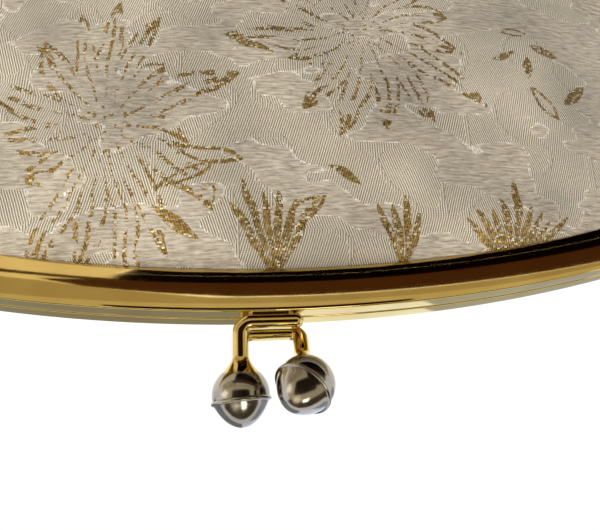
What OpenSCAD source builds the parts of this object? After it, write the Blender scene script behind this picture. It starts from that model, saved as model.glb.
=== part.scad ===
// Kiss lock frame purse: a clutch of brocade on a hinged, arched channel frame.
// It stands on its base at Z = 0 with its front towards -Y. X runs along the frame.
// Both frame halves hinge on the two end rivets, and two crossing beads snap them shut.

/* [Frame] */
// Width over the two frame legs
frame_w = 208; // [190:1:230]
// Height of the top of the frame above the base
frame_top = 128; // [118:1:140]
// Outer radius of the long top arc
top_r = 246; // [220:1:300]
// Outer radius of the corner arcs
corner_r = 38; // [32:0.5:42]
// Height of the frame top above the hinge axis
hinge_drop = 60; // [56:0.5:66]
// Height of the visible face of the channel
face_h = 7.05; // [6:0.05:8]
// Depth of one frame half, from the parting plane to the crown of its face
half_depth = 2.9; // [2.7:0.05:3.4]
// Thickness of the brass sheet
sheet = 0.5; // [0.4:0.05:0.6]
// Radius that the face is crowned to
face_crown_r = 14; // [11:0.5:20]
// Depth from the outer edge at which the face is at its fullest
crown_at = 3; // [2.5:0.1:4]
// How much shorter the inner flange is than the face
flange_step = 0.65; // [0.3:0.05:1.5]
// Bend radius along the two edges of the top face
edge_r = 0.4; // [0.3:0.05:0.5]
// Gap between the two halves when shut
parting_gap = 0.1; // [0.06:0.02:0.2]

/* [Hinge] */
// Radius of the ears at the ends of the legs
ear_r = 3.2; // [2.8:0.1:3.6]
// Radius of the rivet shank
rivet_r = 1; // [0.8:0.05:1.2]
// Radial running clearance of the ears on the shank
rivet_play = 0.05; // [0.02:0.01:0.1]
// Radius of the rivet heads
rivet_head_r = 2.1; // [1.7:0.1:2.4]
// Thickness of the domed outer head
rivet_head_h = 0.9; // [0.6:0.05:1.2]
// Side gap between the two ears, and between ears and heads
ear_gap = 0.1; // [0.06:0.02:0.2]
// Gap from the ear to the cut ends of the channels
leg_gap = 0.45; // [0.3:0.05:1]

/* [Clasp] */
// Radius of the rods
rod_r = 1.18; // [1:0.02:1.3]
// Distance of each upright rod from the middle of the frame
post_x = 4.43; // [4.4:0.01:5.5]
// How far a rod runs past the middle, away from its upright
rod_tail = 3.6; // [2.5:0.1:4.5]
// Radius of the bend, at the middle of the rod
rod_bend_r = 1.7; // [1.4:0.1:2.4]
// Distance of the front rod in front of the parting plane
front_rod_y = 1.45; // [1.3:0.05:1.6]
// Distance of the rear rod behind the parting plane
rear_rod_y = 1.7; // [1.4:0.05:1.9]
// Height of the front rod's middle above the frame
front_rod_z = 1.2; // [1.2:0.05:1.8]
// Height of the rear rod's middle above the frame
rear_rod_z = 1.7; // [1.2:0.05:2]
// Height of the beads' middle above the frame
bead_z = 10.84; // [9.5:0.1:13]
// How far each bead leans over past the parting plane
bead_over = 1.88; // [1.2:0.02:2.4]
// Radius of the beads
bead_r = 4.08; // [3.6:0.02:4.1]
// Wall of the two pressed shells of a bead
bead_wall = 0.4; // [0.3:0.05:0.6]
// Distance of the ring seam past the middle of the bead
ring_at = 0.9; // [0.5:0.05:1.2]
// Thickness of the rolled ring
ring_d = 0.64; // [0.4:0.02:0.8]
// Distance of the ring's middle from the bead's axis
ring_r = 3.96; // [3.4:0.02:4]
// Height of the dome beyond the ring
dome_h = 3.55; // [3:0.05:4]
// Radius at the root of the flared neck
neck_r = 2.45; // [1.9:0.05:2.8]
// Height of the flared neck above the bead
neck_h = 1.5; // [1:0.1:2.2]
// Radius of the peg that holds the shells
peg_r = 0.8; // [0.6:0.05:0.9]
// Length of the peg inside the bead
peg_l = 1.6; // [1.2:0.1:2.4]
// Length of the brazed foot under each rod
foot_l = 6; // [4:0.2:7]
// Width of the brazed foot
foot_w = 1.6; // [1.2:0.1:2]

/* [Bag] */
// Thickness of the brocade
cloth_t = 0.5; // [0.4:0.05:0.6]
// Thickness of the lining
lining_t = 0.3; // [0.2:0.05:0.4]
// Thickness of the base board
board_t = 2; // [1:0.1:3]
// Thickness of the base cloth
base_cloth_t = 0.8; // [0.6:0.1:1.2]
// Full width of the bag below the hinges
bag_w = 218; // [212:1:236]
// Half depth of the bag at the hinge level
hinge_half_depth = 17.6; // [14:0.2:20]
// Height above the base where the bag is fullest
full_at = 22; // [16:1:30]
// Half width of the gusset at the base
gusset_half_w = 16; // [12:0.5:18]
// How far in the gusset is folded, as a share of its half width
gusset_fold = 0.35; // [0.1:0.05:0.5]
// Height of the rounding of the bag's lower corners
bottom_round = 14; // [8:1:20]
// Free space between neighbouring layers of cloth
cloth_gap = 0.3; // [0.2:0.05:0.4]
// Middle of the brocade in the channel, from the parting plane
cloth_seat = 1.5; // [1.45:0.05:1.6]
// How deep the cloth edges stay below the channel's outer edge
tuck = 2.6; // [2.4:0.1:3]
// Radius of the paper cord in the channel
cord_r = 0.72; // [0.5:0.02:0.74]

/* [Interlining] */
// Thickness of the interlining
felt_t = 1; // [0.6:0.1:1.4]
// Half width of its upper sheet
felt_top_w = 70; // [60:1:76]
// Half width of its lower sheet
felt_low_w = 90; // [80:1:94]
// How far below the frame's face it begins
felt_drop = 12; // [8:1:16]

/* [Pocket] */
// Width of the slip pocket
pocket_w = 90; // [60:5:110]
// Height of the slip pocket's lower edge
pocket_low = 14; // [10:1:20]
// Height of the slip pocket's mouth
pocket_high = 48; // [36:1:54]

/* [Opening] */
// Angle that each half swings open
swing = 40; // [30:1:45]
// Angle above the hinge level at which the swinging cloth ends
fold_up = 22; // [16:1:26]
// Spare angle between swinging and standing cloth
fold_spare = 6; // [4:1:10]

/* [Hidden] */
half_w = frame_w / 2;
hinge_z = frame_top - hinge_drop;
half_gap = parting_gap / 2;
flange_h = face_h - flange_step;
leg_end = hinge_z + ear_r + leg_gap;
// Centres of the arcs, and the angle where top and corner arcs meet
corner_x = half_w - corner_r;
top_c = frame_top - top_r;
corner_z = top_c + sqrt(pow(top_r - corner_r, 2) - corner_x * corner_x);
meet = asin(corner_x / (top_r - corner_r));
fold_down = swing - fold_up + fold_spare;
// Shape of the cloth below the frame: a power curve that leaves the channel steeply
rise = 0.6;
cloth_in = cloth_seat + cloth_t / 2;
rise_k = (hinge_half_depth - cloth_in) / pow(hinge_drop - face_h, rise);
rise_slope = rise_k * rise * pow(hinge_drop - face_h, rise - 1);
side_pow = 3;
side_root = 0.75;
spread_h = 25;
gusset_pow = 0.75;
// Depth below the hinge by which the cloth is full out to its side edges
side_full_at = 15;
base_w = bag_w / 2;
tuck_w = half_w - tuck;
gusset_top = hinge_z - ear_r - 1;
// Layers in from the brocade's face
felt_in = cloth_t + cloth_gap;
lining_near = 0.8;
lining_far = felt_in + felt_t + cloth_gap;
loft = 4;
lining_side = 3;
board_gap = 0.2;
board_z = base_cloth_t + board_gap;
felt_z = board_z + board_t + cloth_gap;
felt_cut_gap = 1;
// Start of the bend between the crowned face and the top face, in degrees
edge_start = 157;
// The outer shell's dome: how soon it closes in, and how blunt its tip is
dome_pow = 1.6;
dome_root = 0.75;
// How each bead's ring seam leans from its post's axis
front_ring_tilt = [8, -5, 0];
rear_ring_tilt = [20, -15, 0];
// Clearance between the paper cord and the channel's web
cord_gap = 0.1;
// How far a cutter runs past what it cuts
over = 1;
// Steps of the curves
columns = 20;
rows = 6;
fold_rows = 4;
felt_rows = 5;
gusset_rows = 9;
pocket_columns = 12;
corner_steps = 9;
top_steps = 20;
face_steps = 6;
edge_steps = 3;
dome_steps = 10;
cord_sides = 6;
round_fn = 48;
ring_fn = 32;
arch_fn = 720;
small = 0.02;

gold = "goldenrod";
silver = "silver";
brocade = "antiquewhite";
satin = "wheat";
felt = "whitesmoke";
card = "tan";
paper = "burlywood";

// The channel's section, as [depth from the outer edge, Y]. The face is crowned.
function face_y(d) = -half_depth + pow(d - crown_at, 2) / (2 * face_crown_r);
function edge_arc(cy, a0, a1) =
    [for (i = [0:edge_steps]) let (a = a0 + (a1 - a0) * i / edge_steps)
        [edge_r - edge_r * sin(a), cy + edge_r * cos(a)]];
function channel() = concat(
    [for (i = [0:face_steps]) let (d = face_h + (edge_r - face_h) * i / face_steps) [d, face_y(d)]],
    edge_arc(face_y(edge_r) + edge_r, edge_start, 90),
    edge_arc(-half_gap - edge_r, 90, 0),
    [[flange_h, -half_gap], [flange_h, -half_gap - sheet], [sheet, -half_gap - sheet]],
    [for (i = [0:face_steps]) let (d = sheet + (face_h - sheet) * i / face_steps) [d, face_y(d) + sheet]]);

// Faces that close the channel's end: each joins its outer wall to its inner wall.
function channel_end() = let (f = face_steps, arc = edge_steps + 1, web = f + arc, lip = f + 2 * arc + 1,
        corner = lip + 2, foot = corner + 1, last = foot + f) concat(
    [for (i = [0:f - 1]) [i, i + 1, last - i - 1, last - i]],
    [for (k = [f:web - 1]) [k, k + 1, foot]],
    [[web, web + 1, corner, foot]],
    [for (k = [web + 1:lip - 2]) [k, k + 1, corner]],
    [[lip - 1, lip, lip + 1, corner]]);

// The frame's path: stations from one leg end to the other, as [x, z, inward x, inward z].
function arc_station(cx, cz, r, a) = [cx + r * cos(a), cz + r * sin(a), -cos(a), -sin(a)];
function stations(low) = concat(
    [[half_w, low, -1, 0]],
    [for (i = [0:corner_steps]) arc_station(corner_x, corner_z, corner_r, (90 - meet) * i / corner_steps)],
    [for (i = [1:top_steps - 1]) arc_station(0, top_c, top_r, 90 - meet + 2 * meet * i / top_steps)],
    [for (i = [0:corner_steps])
        arc_station(-corner_x, corner_z, corner_r, 90 + meet + (90 - meet) * i / corner_steps)],
    [[-half_w, low, 1, 0]]);

// A section, as [depth from the outer edge, Y], swept along that path as one closed solid. The faces
// of its first end are given too.
module swept(section, end, low) {
    path = stations(low);
    n = len(section);
    last = len(path) - 1;
    polyhedron(
        points = [for (s = path, p = section) [s[0] + s[2] * p[0], p[1], s[1] + s[3] * p[0]]],
        faces = concat(
            end,
            [for (i = [0:last - 1], k = [0:n - 1]) let (a = i * n + k, b = i * n + (k + 1) % n) each
                [[a, a + n, b], [b, a + n, b + n]]],
            [for (face = end) [for (k = [len(face) - 1:-1:0]) last * n + face[k]]]),
        convexity = 10);
}

// One ear: the web of the leg carried down round the rivet. The inner half's ears are set in by a
// joggle at the leg's end, so that they lie against the outer half's.
module ear(inset) {
    ear_x = half_w - inset - sheet;
    face_side = face_y(edge_r) + edge_r + small;
    neck_w = -half_gap - edge_r - small - face_side;
    step_top = leg_end - small;
    difference() {
        union() {
            translate([ear_x, 0, hinge_z]) rotate([0, 90, 0]) cylinder(r = ear_r, h = sheet, $fn = round_fn);
            translate([half_w - sheet, face_side, inset > 0 ? step_top - sheet : hinge_z])
                cube([sheet, neck_w, leg_end + sheet - (inset > 0 ? step_top - sheet : hinge_z)]);
            if (inset > 0) {
                translate([ear_x, face_side, step_top - sheet]) cube([inset + sheet, neck_w, sheet]);
                translate([ear_x, face_side, hinge_z]) cube([sheet, neck_w, step_top - hinge_z]);
            }
        }
        translate([ear_x - over, 0, hinge_z]) rotate([0, 90, 0])
            cylinder(r = rivet_r + rivet_play, h = sheet + 2 * over, $fn = round_fn);
    }
}

module frame_half(inset) {
    color(gold) {
        for (side = [0, 1]) mirror([side, 0, 0]) ear(inset);
        swept(channel(), channel_end(), leg_end);
    }
}

module front_frame() { frame_half(0); }
module rear_frame() { mirror([0, 1, 0]) frame_half(sheet + ear_gap); }

// Shank through both ears, a domed head outside and a flat peened head inside.
module hinge_rivet() {
    inner_x = half_w - 2 * sheet - 2 * ear_gap;
    outer_x = half_w + ear_gap;
    color(gold) translate([0, 0, hinge_z]) rotate([0, 90, 0]) {
        translate([0, 0, inner_x - small])
            cylinder(r = rivet_r, h = outer_x - inner_x + 2 * small, $fn = round_fn);
        translate([0, 0, inner_x - sheet]) cylinder(r = rivet_head_r, h = sheet, $fn = round_fn);
        translate([0, 0, outer_x]) intersection() {
            cylinder(r = rivet_head_r, h = rivet_head_h, $fn = round_fn);
            translate([0, 0, rivet_head_h - dome_r()]) sphere(r = dome_r(), $fn = 2 * round_fn);
        }
    }
}
function dome_r() = (pow(rivet_head_r, 2) + pow(rivet_head_h, 2)) / (2 * rivet_head_h);
module right_hinge_rivet() { hinge_rivet(); }
module left_hinge_rivet() { mirror([1, 0, 0]) hinge_rivet(); }

// Places a clasp's own axes: X along the rod, Z up the leaning post, origin in the rod's middle line.
module clasp_place(y, z, lean) { translate([0, -y, frame_top + z]) rotate([-lean, 0, 0]) children(); }
function clasp_lean(y, z) = atan((y + bead_over) / (bead_z - z));
function clasp_len(y, z) = norm([y + bead_over, bead_z - z]);

// Bent rod with a round free end, flared neck, peg, and the brazed foot that it stands on.
module clasp_stem(y, z) {
    lean = clasp_lean(y, z);
    reach = clasp_len(y, z);
    bend_x = post_x - rod_bend_r;
    neck_end = sqrt(bead_r * bead_r - neck_r * neck_r);
    color(gold) {
        clasp_place(y, z, lean) {
            translate([-rod_tail, 0, 0]) rotate([0, 90, 0])
                cylinder(r = rod_r, h = rod_tail + bend_x, $fn = round_fn);
            translate([-rod_tail, 0, 0]) sphere(r = rod_r, $fn = round_fn);
            translate([bend_x, 0, rod_bend_r]) rotate([90, 0, 0])
                rotate_extrude(angle = 90, start = 270, $fn = 2 * round_fn)
                    translate([rod_bend_r, 0]) circle(r = rod_r, $fn = round_fn);
            difference() {
                union() {
                    translate([post_x, 0, rod_bend_r])
                        cylinder(r = rod_r, h = reach - bead_r - rod_bend_r, $fn = round_fn);
                    translate([post_x, 0, reach - bead_r - neck_h])
                        cylinder(r1 = rod_r, r2 = neck_r, h = neck_h + bead_r - neck_end, $fn = round_fn);
                }
                translate([post_x, 0, reach]) sphere(r = bead_r + small, $fn = 2 * round_fn);
            }
            translate([post_x, 0, reach - bead_r - small])
                cylinder(r = peg_r, h = peg_l + small, $fn = round_fn);
        }
        foot(y, z);
    }
}

// Brazed foot: a low bar between the rod and the curved top of the frame.
module foot(y, z) {
    difference() {
        translate([-foot_l / 2, -y - foot_w / 2, frame_top - rod_r / 2]) cube([foot_l, foot_w, z]);
        translate([0, 0, top_c]) rotate([90, 0, 0])
            cylinder(r = top_r + small, h = 4 * half_depth, center = true, $fn = arch_fn);
    }
}

// A bead's own axes: origin in its middle, Z along the ring seam's axis.
module bead_place(y, z, ring_tilt) {
    clasp_place(y, z, clasp_lean(y, z))
        translate([post_x, 0, clasp_len(y, z)])
            rotate(ring_tilt) children();
}

// Inner shell: a hollow ball, open at the ring seam, with a hole for the peg.
module inner_shell(y, z, ring_tilt) {
    lean = clasp_lean(y, z);
    color(silver) difference() {
        bead_place(y, z, ring_tilt) difference() {
            sphere(r = bead_r, $fn = 2 * round_fn);
            sphere(r = bead_r - bead_wall, $fn = 2 * round_fn);
            translate([-bead_r, -bead_r, ring_at - ring_d / 2 - small]) cube(2 * bead_r);
        }
        clasp_place(y, z, lean) translate([post_x, 0, clasp_len(y, z) - bead_r - over])
            cylinder(r = peg_r + small, h = bead_r, $fn = round_fn);
    }
}

// Outer shell: a hollow, slightly pointed dome on a rolled ring.
function dome_pts(r, h) = [for (i = [0:dome_steps])
    let (a = 90 * i / dome_steps, s = sin(a)) [r * pow(1 - pow(s, dome_pow), dome_root), h * s]];
module outer_shell(y, z, ring_tilt) {
    color(silver) bead_place(y, z, ring_tilt) translate([0, 0, ring_at]) {
        rotate_extrude($fn = 2 * round_fn)
            union() {
                translate([ring_r, 0]) circle(d = ring_d, $fn = ring_fn);
                polygon(concat(dome_pts(ring_r, dome_h),
                    [for (i = [dome_steps:-1:0]) dome_pts(ring_r - bead_wall, dome_h - bead_wall)[i]]));
            }
    }
}

module rear_clasp() { rotate([0, 0, 180]) children(); }
module front_clasp_stem() { clasp_stem(front_rod_y, front_rod_z); }
module front_clasp_inner_shell() { inner_shell(front_rod_y, front_rod_z, front_ring_tilt); }
module front_clasp_outer_shell() { outer_shell(front_rod_y, front_rod_z, front_ring_tilt); }
module rear_clasp_stem() { rear_clasp() clasp_stem(rear_rod_y, rear_rod_z); }
module rear_clasp_inner_shell() { rear_clasp() inner_shell(rear_rod_y, rear_rod_z, rear_ring_tilt); }
module rear_clasp_outer_shell() { rear_clasp() outer_shell(rear_rod_y, rear_rod_z, rear_ring_tilt); }

// Paper cord pressed into the channel above the cloth edges, midway between flange and face.
cord_d = sheet + cord_gap + cord_r * cos(180 / cord_sides);
cord_y = (face_y(cord_d) - half_gap) / 2;
function cord_section() = [for (i = [0:cord_sides - 1]) let (a = -360 * (i + 0.5) / cord_sides)
    [cord_d + cord_r * cos(a), cord_y + cord_r * sin(a)]];
module packing_cord() {
    color(paper) swept(cord_section(), [[for (k = [0:cord_sides - 1]) k]], leg_end + sheet + cloth_gap);
}
module front_packing_cord() { packing_cord(); }
module rear_packing_cord() { mirror([0, 1, 0]) packing_cord(); }

// Height of the frame's outline, set in by inset, above a point across the bag.
function outline_z(x, inset) = let (a = abs(x))
    a <= (top_r - inset) * sin(meet)
        ? top_c + sqrt(pow(top_r - inset, 2) - a * a)
        : corner_z + sqrt(max(0, pow(corner_r - inset, 2) - pow(a - corner_x, 2)));

// Half width of the bag, of its full part, and of its gusset, at a depth u below the hinge.
function bag_half_w(u) =
    let (t = min(1, max(0, (u - ear_r) / spread_h)), low = max(0, bottom_round - hinge_z + u))
    tuck_w + (base_w - tuck_w) * t * t * (3 - 2 * t) - low * low / (2 * bottom_round);
function full_half_w(u) = let (w = half_w - face_h) w + (bag_half_w(u) - w) * min(1, u / side_full_at);
function gusset_w(u) = cloth_in + (gusset_half_w - cloth_in) * pow(max(0, u) / hinge_z, gusset_pow);

// Distance of the brocade's face from the parting plane.
function middle_depth(u) = hinge_half_depth + rise_slope * (u - u * u / (2 * (hinge_z - full_at)));
function side_share(x, w) = pow(max(0, 1 - pow(abs(x) / w, side_pow)), side_root);
function upper_depth(x, z) = let (e = max(0, outline_z(x, face_h + cloth_gap) - z))
    cloth_in + rise_k * pow(e, rise) * side_share(x, half_w - face_h);
function lower_depth(x, z) = let (u = hinge_z - z, g = gusset_w(u))
    g + (middle_depth(u) - g) * side_share(x, full_half_w(u));
function depth(x, z) = z >= hinge_z ? upper_depth(x, z) : lower_depth(x, z);
function lining_depth(x, z) = let (h = depth(x, z))
    h - lining_near - (lining_far - lining_near) * min(1, (h - cloth_in) / loft);

// Height of the cut at an angle about the hinge axis, by two rounds of substitution.
function cut_z(x, angle) =
    let (a = hinge_z + tan(angle) * depth(x, hinge_z), b = hinge_z + tan(angle) * depth(x, a))
    hinge_z + tan(angle) * depth(x, b);

// A cloth piece from two grids of points, its face and its back, as one closed solid.
module cloth(face, back) {
    nu = len(face);
    nv = len(face[0]);
    n = nu * nv;
    pts = concat([for (c = face) each c], [for (c = back) each c]);
    function at(i, j) = i * nv + j;
    faces = concat(
        [for (i = [0:nu - 2], j = [0:nv - 2]) each
            [[at(i, j), at(i, j + 1), at(i + 1, j)], [at(i + 1, j), at(i, j + 1), at(i + 1, j + 1)]]],
        [for (i = [0:nu - 2], j = [0:nv - 2]) each
            [[n + at(i, j), n + at(i + 1, j), n + at(i, j + 1)],
             [n + at(i + 1, j), n + at(i + 1, j + 1), n + at(i, j + 1)]]],
        [for (i = [0:nu - 2]) each
            [[at(i, 0), at(i + 1, 0), n + at(i, 0)], [n + at(i, 0), at(i + 1, 0), n + at(i + 1, 0)],
             [at(i, nv - 1), n + at(i, nv - 1), at(i + 1, nv - 1)],
             [n + at(i, nv - 1), n + at(i + 1, nv - 1), at(i + 1, nv - 1)]]],
        [for (j = [0:nv - 2]) each
            [[at(0, j), n + at(0, j), at(0, j + 1)], [n + at(0, j), n + at(0, j + 1), at(0, j + 1)],
             [at(nu - 1, j), at(nu - 1, j + 1), n + at(nu - 1, j)],
             [n + at(nu - 1, j), at(nu - 1, j + 1), n + at(nu - 1, j + 1)]]]);
    polyhedron(points = pts, faces = faces, convexity = 4);
}

// Column places across the bag, closer together towards the corners.
function across(w) = [for (i = [0:columns]) w * sin(90 * (2 * i / columns - 1))];
// The same as shares of the tucked cloth's half width, with a column along each leg's inner edge.
function shares() = let (inner = (half_w - face_h) / tuck_w) concat([-1],
    [for (i = [0:columns - 2]) inner * sin(90 * (2 * i / (columns - 2) - 1))], [1]);
// Row places down from the frame: the channel, then ever wider steps.
function down(x, low) = let (edge = outline_z(x, face_h + cloth_gap)) concat([outline_z(x, tuck)],
    [for (j = [0:rows - 1]) let (t = j / (rows - 1)) edge - (edge - low) * t * t]);
function even(top, low, n) = [for (j = [0:n]) top + (low - top) * j / n];
// Row places that close up towards both ends.
function eased(top, low, n) = [for (j = [0:n]) low + (top - low) * (1 + cos(180 * j / n)) / 2];

// Grids of [x, z] places. Upper cloth: from the tucked edge down to the cut.
function upper_grid() = [for (s = shares()) let (x = s * tuck_w)
    [for (z = down(x, cut_z(x, fold_up))) [x, z]]];
// Band that bends at the hinge level, between the swinging and the standing cloth.
function fold_grid() = [for (s = shares()) let (x = s * tuck_w)
    [for (z = even(cut_z(x, fold_up) - cloth_gap, cut_z(x, -fold_down) + cloth_gap, fold_rows)) [x, z]]];
// Standing cloth: columns run at equal shares of the bag's width at each height.
function lower_x(s, z, inset) = s * (bag_half_w(hinge_z - z) - inset);
function lower_grid(low, inset) = [for (s = shares())
    let (near = cut_z(s * (tuck_w - inset), -fold_down), top = cut_z(lower_x(s, near, inset), -fold_down))
    [for (z = eased(top, low, rows + 1)) [lower_x(s, z, inset), z]]];

// Cloth over such a grid, at a distance in from the brocade's face or from the lining's face.
module shell_cloth(grid, inset, thick) {
    cloth([for (c = grid) [for (p = c) [p[0], inset - depth(p[0], p[1]), p[1]]]],
        [for (c = grid) [for (p = c) [p[0], inset + thick - depth(p[0], p[1]), p[1]]]]);
}
module lining_cloth(grid, inset) {
    cloth([for (c = grid) [for (p = c) [p[0], inset - lining_depth(p[0], p[1]), p[1]]]],
        [for (c = grid) [for (p = c) [p[0], inset + lining_t - lining_depth(p[0], p[1]), p[1]]]]);
}
module brocade_upper() { color(brocade) shell_cloth(upper_grid(), 0, cloth_t); }
module brocade_fold() { color(brocade) shell_cloth(fold_grid(), 0, cloth_t); }
module brocade_lower() { color(brocade) shell_cloth(lower_grid(0, 0), 0, cloth_t); }
module lining_upper() { color(satin) lining_cloth(upper_grid(), 0); }
module lining_fold() { color(satin) lining_cloth(fold_grid(), 0); }
module lining_lower() { color(satin) lining_cloth(lower_grid(felt_z, lining_side), 0); }

// Interlining: stops short of the frame, the sides and the cut.
module interlining_upper() {
    color(felt) shell_cloth([for (x = across(felt_top_w))
        let (top = outline_z(x, face_h) - felt_drop, low = cut_z(x, fold_up) + felt_cut_gap)
        [for (z = even(top, low, felt_rows)) [x, z]]],
        felt_in, felt_t);
}
module interlining_lower() {
    color(felt) shell_cloth([for (x = across(felt_low_w))
        [for (z = even(cut_z(x, -fold_down) - felt_cut_gap, felt_z, felt_rows)) [x, z]]],
        felt_in, felt_t);
}

// Gusset: a tapering strip, folded in along its middle.
module gusset(inset, side_gap, thick, low) {
    zs = eased(gusset_top, low, gusset_rows);
    function half(z) = gusset_w(hinge_z - z) - side_gap;
    function fold_x(z, t) = bag_half_w(hinge_z - z) - inset - gusset_fold * half(z) * (1 - abs(t));
    ts = [-1, -0.5, 0, 0.5, 1];
    cloth([for (t = ts) [for (z = zs) [fold_x(z, t), t * half(z), z]]],
        [for (t = ts) [for (z = zs) [fold_x(z, t) - thick, t * half(z), z]]]);
}
module brocade_gusset() { color(brocade) gusset(0, cloth_t + cloth_gap, cloth_t, 0); }
module lining_gusset() {
    color(satin) gusset(lining_side, lining_far + lining_t + cloth_gap, lining_t, felt_z);
}

// Flat pieces of the base, set in from the brocade's face, with the gussets' folds cut in at the ends.
module base_plate(z, thick, inset) {
    end_x = bag_half_w(hinge_z - z) - inset;
    fold = [end_x - gusset_fold * gusset_w(hinge_z - z), 0];
    ws = across(end_x);
    translate([0, 0, z]) linear_extrude(thick)
        polygon(concat([for (x = ws) [x, -(depth(x, z) - inset)]], [fold],
            [for (i = [columns:-1:0]) [ws[i], depth(ws[i], z) - inset]], [-fold]));
}

module front_panel_upper() { brocade_upper(); }
module front_panel_fold() { brocade_fold(); }
module front_panel_lower() { brocade_lower(); }
module rear_panel_upper() { mirror([0, 1, 0]) brocade_upper(); }
module rear_panel_fold() { mirror([0, 1, 0]) brocade_fold(); }
module rear_panel_lower() { mirror([0, 1, 0]) brocade_lower(); }
module right_gusset() { brocade_gusset(); }
module left_gusset() { mirror([1, 0, 0]) brocade_gusset(); }
module base_cloth() { color(brocade) base_plate(0, base_cloth_t, cloth_t + cloth_gap); }
module base_board() { color(card) base_plate(board_z, board_t, cloth_t + cloth_gap + small); }
module front_interlining_upper() { interlining_upper(); }
module front_interlining_lower() { interlining_lower(); }
module rear_interlining_upper() { mirror([0, 1, 0]) interlining_upper(); }
module rear_interlining_lower() { mirror([0, 1, 0]) interlining_lower(); }
module front_lining_upper() { lining_upper(); }
module front_lining_fold() { lining_fold(); }
module front_lining_lower() { lining_lower(); }
module rear_lining_upper() { mirror([0, 1, 0]) lining_upper(); }
module rear_lining_fold() { mirror([0, 1, 0]) lining_fold(); }
module rear_lining_lower() { mirror([0, 1, 0]) lining_lower(); }
module right_lining_gusset() { lining_gusset(); }
module left_lining_gusset() { mirror([1, 0, 0]) lining_gusset(); }
module lining_base() {
    color(satin) base_plate(felt_z, lining_t, lining_side + lining_t + cloth_gap);
}

// Slip pocket sewn to the rear lining.
module slip_pocket() {
    grid = [for (x = even(-pocket_w / 2, pocket_w / 2, pocket_columns))
        [for (z = even(pocket_high, pocket_low, fold_rows)) [x, z]]];
    color(satin) mirror([0, 1, 0]) lining_cloth(grid, lining_t + cloth_gap);
}

front_frame();
rear_frame();
left_hinge_rivet();
right_hinge_rivet();
front_clasp_stem();
front_clasp_inner_shell();
front_clasp_outer_shell();
rear_clasp_stem();
rear_clasp_inner_shell();
rear_clasp_outer_shell();
front_packing_cord();
rear_packing_cord();
front_panel_upper();
front_panel_fold();
front_panel_lower();
rear_panel_upper();
rear_panel_fold();
rear_panel_lower();
left_gusset();
right_gusset();
base_cloth();
base_board();
front_interlining_upper();
front_interlining_lower();
rear_interlining_upper();
rear_interlining_lower();
front_lining_upper();
front_lining_fold();
front_lining_lower();
rear_lining_upper();
rear_lining_fold();
rear_lining_lower();
left_lining_gusset();
right_lining_gusset();
lining_base();
slip_pocket();
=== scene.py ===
import math
import bpy
from mathutils import Euler, Matrix, Vector, noise


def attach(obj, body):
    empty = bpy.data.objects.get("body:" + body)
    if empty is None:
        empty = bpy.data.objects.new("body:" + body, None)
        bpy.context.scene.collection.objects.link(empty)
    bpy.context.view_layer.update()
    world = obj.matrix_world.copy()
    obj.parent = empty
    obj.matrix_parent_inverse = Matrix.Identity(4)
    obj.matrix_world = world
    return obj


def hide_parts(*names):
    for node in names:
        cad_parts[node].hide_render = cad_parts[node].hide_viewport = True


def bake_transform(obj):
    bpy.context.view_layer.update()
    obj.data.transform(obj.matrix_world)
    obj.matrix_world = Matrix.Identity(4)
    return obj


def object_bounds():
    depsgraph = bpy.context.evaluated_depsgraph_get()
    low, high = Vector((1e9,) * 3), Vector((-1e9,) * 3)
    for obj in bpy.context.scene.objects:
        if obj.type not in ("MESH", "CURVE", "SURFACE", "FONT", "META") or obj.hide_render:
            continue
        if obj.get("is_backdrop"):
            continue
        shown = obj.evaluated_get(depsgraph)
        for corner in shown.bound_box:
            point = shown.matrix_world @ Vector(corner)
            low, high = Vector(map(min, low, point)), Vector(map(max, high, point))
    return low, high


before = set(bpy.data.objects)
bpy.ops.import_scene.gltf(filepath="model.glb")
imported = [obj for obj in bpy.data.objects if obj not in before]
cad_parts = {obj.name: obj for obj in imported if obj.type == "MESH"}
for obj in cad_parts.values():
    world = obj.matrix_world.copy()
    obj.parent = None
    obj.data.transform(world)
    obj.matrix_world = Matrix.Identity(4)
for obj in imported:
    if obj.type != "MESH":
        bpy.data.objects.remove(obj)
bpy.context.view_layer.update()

MM = 0.001

# Camera: close above the front, looking down on the clasp, and rolled over so that the frame is
# at the picture's bottom and the bag's cloth at its top.
FOCAL_PIXELS = 481.7
PICTURE_WIDTH = 600
camera_data = bpy.data.cameras.new("camera")
camera = bpy.data.objects.new("camera", camera_data)
bpy.context.scene.collection.objects.link(camera)
camera_data.sensor_width = 36
camera_data.lens = FOCAL_PIXELS * camera_data.sensor_width / PICTURE_WIDTH
camera_data.clip_start = 0.002
camera_data.clip_end = 50
camera.matrix_world = Matrix((
    (-0.99615, -0.01734, 0.08596, 0.001664),
    (-0.06518, -0.50928, -0.85813, -0.066231),
    (0.05866, -0.86043, 0.50618, 0.157967),
    (0, 0, 0, 1)))
bpy.context.scene.camera = camera


# Floor, lamps and cards: a pale studio table under soft light. The cards show only in reflections
# and give the metal its bands: black, brown, tan and pale in front, dark overhead, pale behind.
def linear(code):
    """A colour written as on a paint card, turned into the light values that a shader takes."""
    parts = [int(code[i:i + 2], 16) / 255 for i in (1, 3, 5)]
    return tuple([c / 12.92 if c <= 0.04045 else ((c + 0.055) / 1.055) ** 2.4 for c in parts] + [1.0])


def result(node):
    """The output that a node shows with its present settings."""
    return next(s for s in node.outputs if s.enabled)


def add(tree, kind, *inputs, **settings):
    """Adds one node: its settings first, then its inputs in order, as values, nodes or sockets."""
    made = tree.nodes.new("ShaderNode" + kind)
    for name, value in settings.items():
        setattr(made, name, value)
    for socket, value in zip([s for s in made.inputs if s.enabled], inputs):
        if isinstance(value, bpy.types.Node):
            value = result(value)
        if isinstance(value, bpy.types.NodeSocket):
            tree.links.new(value, socket)
        elif value is not None:
            socket.default_value = value
    return made


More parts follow.
